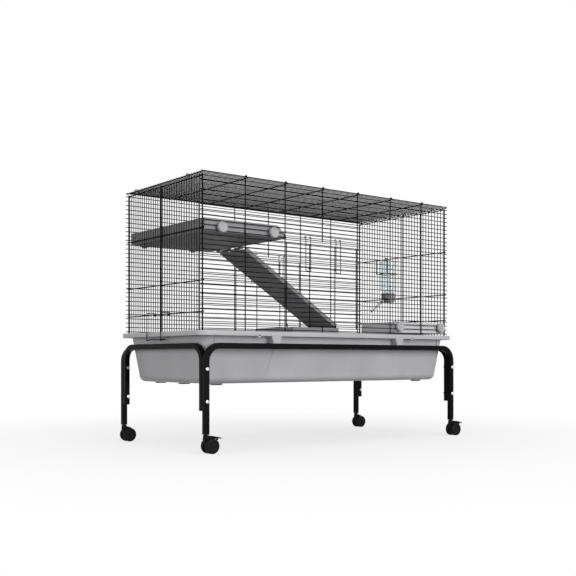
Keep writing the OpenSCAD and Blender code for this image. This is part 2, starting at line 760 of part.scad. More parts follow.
// Ramp: a deck with rows of oval recesses below, between two side lips, clipped on the rail
module ramp() {
    deck = 3;
    lip_h = 12;
    clip_r = 5;
    rows = 4;
    cells = 15;
    cell_pitch_x = (ramp_l - 40) / cells;
    cell_pitch_y = (ramp_w - 12) / rows;
    color(shelf_grey) at_cage() translate([ramp_pivot[0], ramp_y0, ramp_pivot[1]])
        rotate([0, ramp_slope, 0]) difference() {
            union() {
                translate([6, 0, -deck / 2]) cube([ramp_l - 6, ramp_w, deck]);
                for (y = [0, ramp_w - 2.4]) translate([6, y, -deck / 2]) cube([ramp_l - 6, 2.4, lip_h]);
                for (y = [ramp_w * 0.2, ramp_w * 0.66]) translate([0, y, 0]) {
                    rotate([-90, 0, 0]) cylinder(h = 18, r = clip_r);
                    translate([0, 0, -deck / 2]) cube([10, 18, deck]);
                }
                for (i = [1:cells - 1]) translate([18 + i * cell_pitch_x, 2, deck / 2 - 0.2])
                    cube([2.4, ramp_w - 4, 1.6]);
            }
            for (y = [ramp_w * 0.2, ramp_w * 0.66]) translate([0, y - 1, 0]) {
                rotate([-90, 0, 0]) cylinder(h = 20, d = ramp_pin_d + 0.12);
                rotate([0, 160, 0]) translate([0, 0, -2.2]) cube([clip_r + 2, 20, 4.4]);
            }
            for (i = [0:cells - 1]) for (j = [0:rows - 1])
                translate([19.2 + (i + 0.5) * cell_pitch_x, 6 + (j + 0.5) * cell_pitch_y, -5])
                    for (side = [-1, 1]) translate([0, side * 5, 0]) cylinder(h = 5.4, d = 15);
        }
}

// ---- Water bottle ----
bottle_x = half_l + 5 + bottle_d / 2;
bottle_y = 7 * bar_pitch;
cap_z = 444;
cap_h = 28;
neck_d = 40;
spout_d = 10;
spout_tilt = 35;
spout_l = 78;
ball_d = 7;
spout_from = [bottle_x - 16, bottle_y, cap_z + 8];
module at_spout() {
    translate(spout_from) rotate([0, -90 - spout_tilt, 0]) children();
}
module bottle() {
    base = cap_z + cap_h - 14;
    wall = 1.6;
    color(clear_plastic) at_cage() translate([bottle_x, bottle_y, base]) rotate_extrude() polygon([
        [neck_d / 2 - wall, 0], [neck_d / 2, 0], [neck_d / 2, 16], [bottle_d / 2 - 2, 24],
        [bottle_d / 2, 28], [bottle_d / 2, bottle_h - 6], [bottle_d / 2 - 2, bottle_h - 2],
        [bottle_d / 2 - 6, bottle_h], [0, bottle_h], [0, bottle_h - wall], [bottle_d / 2 - 6.6, bottle_h - wall],
        [bottle_d / 2 - 3.2, bottle_h - 3.4], [bottle_d / 2 - wall, bottle_h - 6.6],
        [bottle_d / 2 - wall, 28.4], [bottle_d / 2 - wall - 2, 25], [neck_d / 2 - wall, 17]]);
}
module bottle_cap() {
    color(shelf_grey) at_cage() difference() {
        translate([bottle_x, bottle_y, cap_z]) union() {
            cylinder(h = cap_h, d = neck_d + 8);
            translate([0, 0, -3]) cylinder(h = 3, d = neck_d);
            translate([-24, -8, 0]) cube([12, 16, 16]);
        }
        translate([bottle_x, bottle_y, cap_z + cap_h - 14]) cylinder(h = 30, d = neck_d + 0.3);
        translate([bottle_x, bottle_y, cap_z + 3]) cylinder(h = 30, d = neck_d - 6);
        at_spout() translate([0, 0, -12]) cylinder(h = 60, d = spout_d + 0.02);
    }
}
module bottle_spout() {
    color(zinc) at_cage() at_spout() difference() {
        cylinder(h = spout_l, d = spout_d);
        translate([0, 0, -1]) cylinder(h = spout_l - 2, d = ball_d + 0.6);
        translate([0, 0, spout_l - 5]) cylinder(h = 10, d = ball_d - 1.4);
    }
}
module spout_ball() {
    color(zinc) at_cage() at_spout() translate([0, 0, spout_l - 5.2]) sphere(d = ball_d);
}
holder_gap = 1.8;
holder_d = 3;
// The cage's middle sits this far from the origin, which is under the middle of the whole object
cage_x = -(bottle_x + bottle_d / 2 + holder_gap + holder_d / 2 + bail_out_x - bail_d / 2) / 2;
// Ring round the bottle with two hooks over the end panel's cross wire
module bottle_holder() {
    level = bar_z(end_levels[2]);
    ring_z = level - 46;
    ring_r = bottle_d / 2 + holder_gap;
    reach = 2 * bar_pitch;
    root_x = bottle_x - sqrt(pow(ring_r, 2) - pow(reach, 2)) + 1;
    outer_x = half_l + 2.2;
    inner_x = half_l - 7;
    color(wire_black) at_cage() {
        translate([bottle_x, bottle_y, ring_z]) wire_arc(ring_r, holder_d, 0, 360);
        for (y = [bottle_y - reach, bottle_y + reach])
            kinked_wire([[root_x, y, ring_z], [outer_x, y, ring_z], [outer_x, y, level + 4.6],
                [inner_x, y, level + 4.6], [inner_x, y, level - 3]], holder_d);
    }
}

front_arch();
rear_arch();
left_end_arch();
right_end_arch();
frame_screws();
frame_nuts();
leg_plugs();
front_left_fork();
front_right_fork();
back_left_fork();
back_right_fork();
front_left_wheels();
front_right_wheels();
back_left_wheels();
back_right_wheels();
front_left_axle();
front_right_axle();
back_left_axle();
back_right_axle();
front_left_brake();
front_right_brake();
tray();
front_panel_sill();
front_panel_left();
front_panel_right();
front_panel_header();
back_panel_sill();
back_panel_left();
back_panel_right();
back_panel_header();
left_end_panel();
right_end_panel();
roof_panel();
front_door();
back_door();
front_latch_left();
front_latch_right();
back_latch_left();
back_latch_right();
left_tray_latch();
right_tray_latch();
platform();
low_shelf();
landing_shelf();
platform_knob_front_left();
platform_knob_front_right();
platform_knob_back_left();
platform_knob_back_right();
low_shelf_knob_left();
low_shelf_knob_right();
ramp();
bottle_holder();
bottle();
bottle_cap();
bottle_spout();
spout_ball();
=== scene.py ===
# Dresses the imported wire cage: coated wire and tube, moulded grey plastic, casters and a bottle.
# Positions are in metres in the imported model's frame; sizes in comments are in millimetres.
import json
import math

import bmesh
import bpy
from mathutils import Matrix, Vector


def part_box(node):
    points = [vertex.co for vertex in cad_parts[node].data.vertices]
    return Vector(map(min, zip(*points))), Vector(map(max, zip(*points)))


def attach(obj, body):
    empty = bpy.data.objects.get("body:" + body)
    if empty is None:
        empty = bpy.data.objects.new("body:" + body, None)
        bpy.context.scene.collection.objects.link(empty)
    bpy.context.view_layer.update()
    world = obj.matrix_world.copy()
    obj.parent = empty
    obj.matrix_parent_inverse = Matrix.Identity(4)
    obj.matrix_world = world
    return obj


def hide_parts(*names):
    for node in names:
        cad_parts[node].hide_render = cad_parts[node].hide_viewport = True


bl_info = {
    "name": "Wire Cage Dressing",
    "version": (1, 0, 0),
    "blender": (4, 5, 0),
    "location": "3D View > Sidebar > Wire Cage",
    "description": "Finishes and moulded detail for a wire cage on a wheeled stand",
    "category": "Object",
}

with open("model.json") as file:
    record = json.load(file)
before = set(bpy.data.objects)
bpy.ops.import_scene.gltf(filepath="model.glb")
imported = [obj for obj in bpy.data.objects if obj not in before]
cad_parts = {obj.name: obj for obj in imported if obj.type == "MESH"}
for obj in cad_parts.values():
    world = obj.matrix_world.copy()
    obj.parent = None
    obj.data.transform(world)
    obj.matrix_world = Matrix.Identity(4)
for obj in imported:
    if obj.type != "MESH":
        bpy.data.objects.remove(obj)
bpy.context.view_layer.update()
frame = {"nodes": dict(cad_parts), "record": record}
NODES = frame["nodes"]

# The middle of the cage, read from the tray, which is centred on it
TRAY_LOW, TRAY_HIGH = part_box("tray")
CAGE_X = (TRAY_LOW.x + TRAY_HIGH.x) / 2
RIM_TOP = TRAY_HIGH.z
MM = 0.001
# Steps round one corner of the tray
CORNER_STEPS = 8


# ---- Colour and node helpers ----
def linear(hex_colour):
    """sRGB hex to linear red, green, blue and alpha."""
    channels = [int(hex_colour[i : i + 2], 16) / 255 for i in (1, 3, 5)]
    lin = [c / 12.92 if c <= 0.04045 else ((c + 0.055) / 1.055) ** 2.4 for c in channels]
    return (*lin, 1.0)


def add_node(tree, kind, options=None, values=None, links=None):
    """Adds one node with its options, socket values and incoming links."""
    node = tree.nodes.new(kind)
    for name, value in (options or {}).items():
        setattr(node, name, value)
    for socket, value in (values or {}).items():
        node.inputs[socket].default_value = value
    for socket, source in (links or {}).items():
        tree.links.new(source, node.inputs[socket])
    return node


def new_material(name):
    material = bpy.data.materials.new(name)
    material.use_nodes = True
    material.node_tree.nodes.clear()
    return material, material.node_tree


def grain_scale(size_mm):
    """Scale of a texture, in metres, whose grains are this many millimetres across."""
    return 1000.0 / size_mm


def mottled_surface(name, colour, dark_share, mottle_mm, grain_mm, grain_depth_mm, rough, shader):
    """A material with slow colour mottle, uneven gloss and a fine raised grain.

    The colour is linear, and the darker clouds hold dark_share of it.
    """
    material, tree = new_material(name)
    place = add_node(tree, "ShaderNodeTexCoord")
    mottle = add_node(
        tree,
        "ShaderNodeTexNoise",
        values={"Scale": grain_scale(mottle_mm), "Detail": 4.0, "Roughness": 0.55},
        links={"Vector": place.outputs["Object"]},
    )
    grain = add_node(
        tree,
        "ShaderNodeTexNoise",
        values={"Scale": grain_scale(grain_mm), "Detail": 2.0},
        links={"Vector": place.outputs["Object"]},
    )
    tone = add_node(tree, "ShaderNodeValToRGB", links={"Fac": mottle.outputs["Fac"]})
    tone.color_ramp.elements[0].position = 0.3
    tone.color_ramp.elements[0].color = [dark_share * c for c in colour[:3]] + [1.0]
    tone.color_ramp.elements[1].position = 0.7
    tone.color_ramp.elements[1].color = [*colour[:3], 1.0]
    gloss = add_node(
        tree,
        "ShaderNodeMapRange",
        values={"From Min": 0.3, "From Max": 0.7, "To Min": rough[0], "To Max": rough[1]},
        links={"Value": mottle.outputs["Fac"]},
    )
    bump = add_node(
        tree,
        "ShaderNodeBump",
        values={"Strength": 1.0, "Distance": grain_depth_mm * MM},
        links={"Height": grain.outputs["Fac"]},
    )
    surface = add_node(
        tree,
        "ShaderNodeBsdfPrincipled",
        values=shader,
        links={
            "Base Color": tone.outputs["Color"],
            "Roughness": gloss.outputs["Result"],
            "Normal": bump.outputs["Normal"],
        },
    )
    add_node(tree, "ShaderNodeOutputMaterial", links={"Surface": surface.outputs["BSDF"]})
    return material


# ---- Finishes ----
def powder_coated_wire():
    """Steel wire, dipped black: cured powder flows out to a satin skin with a faint orange peel."""
    # The peel is about 0.8 mm across and is drawn at 2.5 mm, so that it shows.
    return mottled_surface(
        "powder_coated_steel_wire", settings().wire_black, 0.35, 40, 2.5, 0.05, (0.46, 0.6),
        {"Metallic": 0.0, "IOR": 1.5, "Specular IOR Level": 0.04},
    )


def powder_coated_tube():
    """Square steel tube in the same black powder, glossier on its flats, with a wider peel."""
    # The peel is about 1.5 mm across and is drawn at 4 mm.
    return mottled_surface(
        "powder_coated_square_tube", settings().tube_black, 0.4, 90, 4.0, 0.08, (0.3, 0.42),
        {"Metallic": 0.0, "IOR": 1.5, "Specular IOR Level": 0.05},
    )


def zinc_plated_steel():
    """Bright zinc plate on steel: a hard, slightly cloudy metal shine with fine handling marks."""
    return mottled_surface(
        "zinc_plated_steel", linear("#dcdee0"), 0.68, 3, 0.8, 0.01, (0.22, 0.38),
        {"Metallic": 1.0},
    )


def drawn_stainless():
    """Drawn stainless tube: smooth and bright, with soft cloudy streaks from the die."""
    return mottled_surface(
        "drawn_stainless_steel", linear("#d4d6d8"), 0.7, 5, 1.2, 0.008, (0.14, 0.26),
        {"Metallic": 1.0},
    )


def moulded_nylon():
    """Black nylon from a spark-eroded mould: a dull, even grain that scatters the highlight."""
    # The mould's grain is about 0.3 mm and is drawn at 1.5 mm.
    return mottled_surface(
        "moulded_black_nylon", settings().caster_black, 0.4, 12, 1.5, 0.06, (0.46, 0.6),
        {"Metallic": 0.0, "IOR": 1.53, "Specular IOR Level": 0.08},
    )


def moulded_polypropylene(name, colour, rough, sheen=0.4):
    """Grey polypropylene from a satin mould: waxy, with faint flow clouds and a fine grain."""
    # The flow clouds are about 110 mm across; the mould's 0.4 mm grain is drawn at 2.2 mm.
    # The inside pieces take a lower sheen than the tray: they come from a coarser mould.
    return mottled_surface(
        name, colour, 0.87, 110, 2.2, 0.05, rough,
        {"Metallic": 0.0, "IOR": 1.49, "Specular IOR Level": sheen},
    )


def rubber_foot():
    """Dark rubber pad under the tray: almost no shine."""
    return mottled_surface(
        "moulded_rubber_pad", linear("#29292b"), 0.55, 15, 1.5, 0.08, (0.75, 0.9),
        {"Metallic": 0.0, "IOR": 1.52, "Specular IOR Level": 0.2},
    )


def clear_blown_plastic():
    """Blown clear polystyrene: thin and glassy, with a slow ripple left by the blow mould."""
    material, tree = new_material("blown_clear_plastic")
    place = add_node(tree, "ShaderNodeTexCoord")
    ripple = add_node(
        tree,
        "ShaderNodeTexNoise",
        values={"Scale": grain_scale(14), "Detail": 1.0},
        links={"Vector": place.outputs["Object"]},
    )
    bump = add_node(
        tree,
        "ShaderNodeBump",
        values={"Strength": 1.0, "Distance": 0.15 * MM},
        links={"Height": ripple.outputs["Fac"]},
    )
    gloss = add_node(
        tree,
        "ShaderNodeMapRange",
        values={"To Min": 0.03, "To Max": 0.12},
        links={"Value": ripple.outputs["Fac"]},
    )
    surface = add_node(
        tree,
        "ShaderNodeBsdfPrincipled",
        values={"Base Color": linear("#eef3f4"), "IOR": 1.45, "Transmission Weight": 1.0},
        links={"Roughness": gloss.outputs["Result"], "Normal": bump.outputs["Normal"]},
    )
    add_node(tree, "ShaderNodeOutputMaterial", links={"Surface": surface.outputs["BSDF"]})
    return material


# ---- Mesh helpers ----
def finish_mesh(name, bm, material, angle=35):
    """Turns a bmesh into a smooth-shaded object with its normals out and one material."""
    bmesh.ops.recalc_face_normals(bm, faces=bm.faces)
    mesh = bpy.data.meshes.new(name)
    bm.to_mesh(mesh)
    bm.free()
    mesh.materials.append(material)
    piece = bpy.data.objects.new(name, mesh)
    bpy.context.scene.collection.objects.link(piece)
    mesh.shade_smooth()
    mesh.set_sharp_from_angle(angle=math.radians(angle))
    return piece


def turned_form(bm, profile, place, steps=48, flutes=0, flute_depth=0.0):
    """Spins a profile of (radius, height) round Z, closes it on the axis, and puts it in place.

    Flutes draw in the radius of points that give a third value, from 0 to 1.
    """
    rings = []
    for point in profile:
        radius, height = point[0], point[1]
        weight = point[2] if len(point) > 2 else 0.0
        if radius < 1e-6:
            rings.append([bm.verts.new(place @ Vector((0, 0, height)))])
            continue
        ring = []
        for i in range(steps):
            a = 2 * math.pi * i / steps
            r = radius
            if flutes:
                r -= weight * flute_depth * max(0.0, math.cos(flutes * a)) ** 1.5
            ring.append(bm.verts.new(place @ Vector((r * math.cos(a), r * math.sin(a), height))))
        rings.append(ring)
    for lower, upper in zip(rings, rings[1:]):
        if len(lower) == 1 and len(upper) == 1:
            continue
        for i in range(steps):
            j = (i + 1) % steps
            if len(lower) == 1:
                bm.faces.new((lower[0], upper[j], upper[i]))
            elif len(upper) == 1:
                bm.faces.new((lower[i], lower[j], upper[0]))
            else:
                bm.faces.new((lower[i], lower[j], upper[j], upper[i]))


def rounded_block(bm, low, high, bevel=0.0006):
    """Box between two corners, in metres, with its edges rounded over."""
    size = Vector(high) - Vector(low)
    made = bmesh.ops.create_cube(bm, size=1.0)
    bmesh.ops.scale(bm, vec=size, verts=made["verts"])
    bmesh.ops.translate(bm, vec=(Vector(low) + Vector(high)) / 2, verts=made["verts"])
    edges = {e for v in made["verts"] for e in v.link_edges}
    bmesh.ops.bevel(bm, geom=list(edges), offset=bevel, segments=2, affect="EDGES")


def loft(bm, rings):
    """Skins closed rings of equal count, and closes the first and the last with a face."""
    rows = [[bm.verts.new(p) for p in ring] for ring in rings]
    for lower, upper in zip(rows, rows[1:]):
        for i in range(len(lower)):
            j = (i + 1) % len(lower)
            bm.faces.new((lower[i], lower[j], upper[j], upper[i]))
    bm.faces.new(list(reversed(rows[0])))
    bm.faces.new(rows[-1])


def corner_ring(half_x, half_y, radius, height):
    """Rounded rectangle of points round the cage's middle, in millimetres, starting at +X +Y."""
    points = []
    for corner in range(4):
        sx = 1 if corner in (0, 3) else -1
        sy = 1 if corner < 2 else -1
        for i in range(CORNER_STEPS + 1):
            a = math.radians(90 * corner + 90 * i / CORNER_STEPS)
            points.append(
                (
                    sx * (half_x - radius) + radius * math.cos(a),
                    sy * (half_y - radius) + radius * math.sin(a),
                    height,
                )
            )
    return points


def from_cage(points):
    """Millimetres round the cage's middle to metres in the frame."""
    return [Vector((CAGE_X + x * MM, y * MM, z * MM)) for x, y, z in points]


def nodes_ending(*endings):
    return [name for name in NODES if name.endswith(endings)]


def dress(names, material):
    """Gives carried-over solids their finish."""
    for name in names:
        mesh = NODES[name].data
        mesh.materials.clear()
        mesh.materials.append(material)


def settings():
    return bpy.context.scene.wire_cage


def body_of_node(name):
    for body, members in frame["record"]["behaviour"]["bodies"].items():
        if name in members:
            return body
    raise RuntimeError(f"no body holds {name}")


def take_over(piece, node):
    """The piece stands for the node: it joins the node's body, and the node is hidden."""
    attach(piece, body_of_node(node))
    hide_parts(node)


# ---- Settings ----
def colour_setting(name, description, hex_colour):
    return bpy.props.FloatVectorProperty(
        name=name, description=description, subtype="COLOR", size=4, min=0, max=1,
        default=linear(hex_colour),
    )


class WireCageSettings(bpy.types.PropertyGroup):
    tray_grey: colour_setting("Tray grey", "The tray's plastic", "#b7b7b9")
    # Platform, landing and ramp are the same plastic as the low shelf; this darker grey is painted
    # shade for the dim light inside the cage
    shelf_grey_painted_shade: colour_setting("Shelf grey", "Plastic of platform, landing and ramp", "#98989a")
    low_shelf_grey: colour_setting("Low shelf grey", "Plastic of the low shelf", "#cfcfd1")
    knob_grey: colour_setting("Knob grey", "Plastic of the clamp knobs", "#aeaeb0")
    cap_grey: colour_setting("Cap grey", "Plastic of the bottle's cap", "#aaaaac")
    wire_black: colour_setting("Wire black", "Powder coat on the wire", "#111112")
    tube_black: colour_setting("Tube black", "Powder coat on the stand's tubes", "#0b0b0d")
    caster_black: colour_setting("Caster black", "Nylon of the casters and leg plugs", "#171718")
    panel_step: bpy.props.FloatProperty(
        name="Panel step", description="How far the tray's front panel stands proud of its wall",
        default=1.2 * MM, min=0, max=2 * MM, unit="LENGTH",
    )
    flute_depth: bpy.props.FloatProperty(
        name="Flute depth", description="Depth of the flutes round a clamp knob",
        default=1.1 * MM, min=0, max=2 * MM, unit="LENGTH",
    )
    tread_groove: bpy.props.FloatProperty(
        name="Tread groove", description="Depth of the groove in a caster wheel's tread",
        default=0.5 * MM, min=0, max=1 * MM, unit="LENGTH",
    )
    floor_reach: bpy.props.FloatProperty(
        name="Floor reach", description="Distance from the middle to the studio floor's edge",
        default=14.0, min=5, max=30, unit="LENGTH",
    )


# ---- Operators ----
class WIRECAGE_OT_stage(bpy.types.Operator):
    """Add the studio floor, the soft lights, the pale surround and the camera"""

    bl_idname = "wire_cage.stage"
    bl_label = "Stage"

    def execute(self, context):
        scene = context.scene
        reach = settings().floor_reach
        bm = bmesh.new()
        bmesh.ops.create_grid(bm, x_segments=8, y_segments=8, size=reach)
        floor = finish_mesh("studio_floor", bm, self.floor_paint())
        world = bpy.data.worlds.new("pale_studio")
        world.use_nodes = True
        world.node_tree.nodes.clear()
        tree = world.node_tree
        seen = add_node(
            tree, "ShaderNodeBackground", values={"Color": (1, 1, 1, 1), "Strength": 1.0}
        )
        fill = add_node(
            tree, "ShaderNodeBackground", values={"Color": linear("#f7f7f8"), "Strength": 0.42}
        )
        mix = add_node(
            tree,
            "ShaderNodeMixShader",
            links={0: self.seen_rays(tree), 1: fill.outputs[0], 2: seen.outputs[0]},
        )
        add_node(tree, "ShaderNodeOutputWorld", links={"Surface": mix.outputs[0]})
        scene.world = world
        scene.view_settings.view_transform = "Standard"
        self.lamp("front_softbox", (0.4, -3.7, 1.1), (0, 0, 0.42), 2.6, 112)
        self.lamp("left_softbox", (-3.8, -0.7, 1.1), (0, 0, 0.42), 2.2, 46)
        self.lamp("top_softbox", (-0.3, 0.2, 3.6), (0, 0, 0.4), 3.0, 26)
        # The photograph's side, its focal length and the height of its horizon, in its own units
        side, focal, horizon = 576, 892.1, 359.2
        camera_data = bpy.data.cameras.new("product_camera")
        camera_data.sensor_fit = "HORIZONTAL"
        camera_data.sensor_width = 36
        camera_data.lens = focal / side * camera_data.sensor_width
        camera_data.shift_y = (horizon - side / 2) / side
        camera_data.clip_end = 60
        camera = bpy.data.objects.new("product_camera", camera_data)
        camera.location = (CAGE_X - 1.693, -2.158, 0.243)
        camera.rotation_euler = (math.radians(90), 0, math.radians(-37.76))
        scene.collection.objects.link(camera)
        scene.camera = camera
        return {"FINISHED"}

    def seen_rays(self, tree):
        """1 for rays from the eye and for those that gloss and clear plastic pass on."""
        path = add_node(tree, "ShaderNodeLightPath")
        pair = add_node(
            tree,
            "ShaderNodeMath",
            options={"operation": "MAXIMUM"},
            links={0: path.outputs["Is Camera Ray"], 1: path.outputs["Is Glossy Ray"]},
        )
        every = add_node(
            tree,
            "ShaderNodeMath",
            options={"operation": "MAXIMUM"},
            links={0: pair.outputs[0], 1: path.outputs["Is Transmission Ray"]},
        )
        return every.outputs[0]

    def floor_paint(self):
        """Matt white studio board: it takes the stand's shadow and is plain white far out."""
        material, tree = new_material("matt_white_board")
        place = add_node(tree, "ShaderNodeTexCoord")
        away = add_node(
            tree,
            "ShaderNodeVectorMath",
            options={"operation": "LENGTH"},
            links={0: place.outputs["Object"]},
        )
        fade = add_node(
            tree,
            "ShaderNodeMapRange",
            options={"interpolation_type": "SMOOTHSTEP"},
            values={"From Min": 0.3, "From Max": 1.6, "To Min": 0.7},
            links={"Value": away.outputs["Value"]},
        )
        rays = self.seen_rays(tree)
        seen = add_node(
            tree,
            "ShaderNodeMath",
            options={"operation": "MULTIPLY"},
            links={0: fade.outputs["Result"], 1: rays},
        )
        # The eye sees a pale board with the shadow on it; the light it throws up is a dark board's
        dark = add_node(tree, "ShaderNodeBsdfDiffuse", values={"Color": linear("#606061")})
        pale = add_node(tree, "ShaderNodeBsdfDiffuse", values={"Color": linear("#f0f0f0")})
        board = add_node(
            tree, "ShaderNodeMixShader", links={0: rays, 1: dark.outputs[0], 2: pale.outputs[0]}
        )
        white = add_node(
            tree, "ShaderNodeEmission", values={"Color": (1, 1, 1, 1), "Strength": 1.0}
        )
        mix = add_node(
            tree,
            "ShaderNodeMixShader",
            links={0: seen.outputs[0], 1: board.outputs[0], 2: white.outputs[0]},
        )
        add_node(tree, "ShaderNodeOutputMaterial", links={"Surface": mix.outputs[0]})
        return material

    def lamp(self, name, place, target, size, power):
        data = bpy.data.lights.new(name, "AREA")
        data.shape = "SQUARE"
        data.size = size
        data.energy = power
        lamp = bpy.data.objects.new(name, data)
        lamp.location = place
        aim = Vector(target) - Vector(place)
        lamp.rotation_euler = aim.to_track_quat("-Z", "Y").to_euler()
        bpy.context.scene.collection.objects.link(lamp)


class WIRECAGE_OT_wire(bpy.types.Operator):
    """Coat the wire panels, doors, latches, bails and the bottle's holder"""

    bl_idname = "wire_cage.wire"
    bl_label = "Wire panels and doors"

    def execute(self, context):
        coat = powder_coated_wire()
        names = [name for name in NODES if "_panel" in name or "_latch" in name]
        dress(names + nodes_ending("_door", "bottle_holder"), coat)
        return {"FINISHED"}


class WIRECAGE_OT_stand(bpy.types.Operator):
    """Coat the stand's tubes and plate its screws and nuts"""

    bl_idname = "wire_cage.stand"
    bl_label = "Stand"

    def execute(self, context):
        dress(nodes_ending("_arch"), powder_coated_tube())
        dress(["frame_screws", "frame_nuts"], zinc_plated_steel())
        return {"FINISHED"}


class WIRECAGE_OT_casters(bpy.types.Operator):
    """Finish the casters, and model their wheels with a grooved tread and a dished hub"""

    bl_idname = "wire_cage.casters"
    bl_label = "Casters"

    def execute(self, context):
        nylon = moulded_nylon()
        dress(nodes_ending("_fork", "_brake", "leg_plugs"), nylon)
        dress(nodes_ending("_axle"), zinc_plated_steel())
        for node in nodes_ending("_wheels"):
            take_over(self.wheel_pair(node, nylon), node)
        return {"FINISHED"}

    def wheel_pair(self, node, nylon):
        """Two turned wheels back to back, each 12 mm wide, with a bore that clears the axle."""
        low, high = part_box(node)
        middle = (low + high) / 2
        outer = (high.y - low.y) / 2
        inner = outer - 12 * MM
        rim = (high.z - low.z) / 2
        groove = settings().tread_groove
        bore = 2.56 * MM
        profile = [(bore, inner), (rim - 1 * MM, inner), (rim - 0.3 * MM, inner + 0.5 * MM),
                   (rim, inner + 1.4 * MM)]
        # Two grooves run round each tread
        for start in (3.6, 6.6):
            profile += [
                (rim, inner + start * MM), (rim - groove, inner + (start + 0.25) * MM),
                (rim - groove, inner + (start + 0.75) * MM), (rim, inner + (start + 1) * MM),
            ]
        # The shoulder, the dished hub and the cap that closes it over the axle's end
        profile += [
            (rim, outer - 3.4 * MM), (rim - 0.3 * MM, outer - 2.4 * MM),
            (rim - 1 * MM, outer - 1.5 * MM), (rim - 2.6 * MM, outer - 0.6 * MM),
            (14.6 * MM, outer), (13.3 * MM, outer), (12.6 * MM, outer - 0.7 * MM),
            (12.2 * MM, outer - 1.6 * MM), (9 * MM, outer - 2.1 * MM),
            (6.2 * MM, outer - 1.9 * MM), (5.4 * MM, outer - 0.9 * MM),
            (4.9 * MM, outer - 0.6 * MM), (0, outer - 0.5 * MM),
            (0, outer - 2.2 * MM), (bore, outer - 2.2 * MM), (bore, inner),
        ]
        bm = bmesh.new()
        for side in (-1, 1):
            place = Matrix.Translation(middle) @ Matrix.Rotation(math.radians(-90 * side), 4, "X")
            turned_form(bm, profile, place, steps=64)
        bmesh.ops.remove_doubles(bm, verts=bm.verts, dist=1e-6)
        return finish_mesh(node + "_turned", bm, nylon)


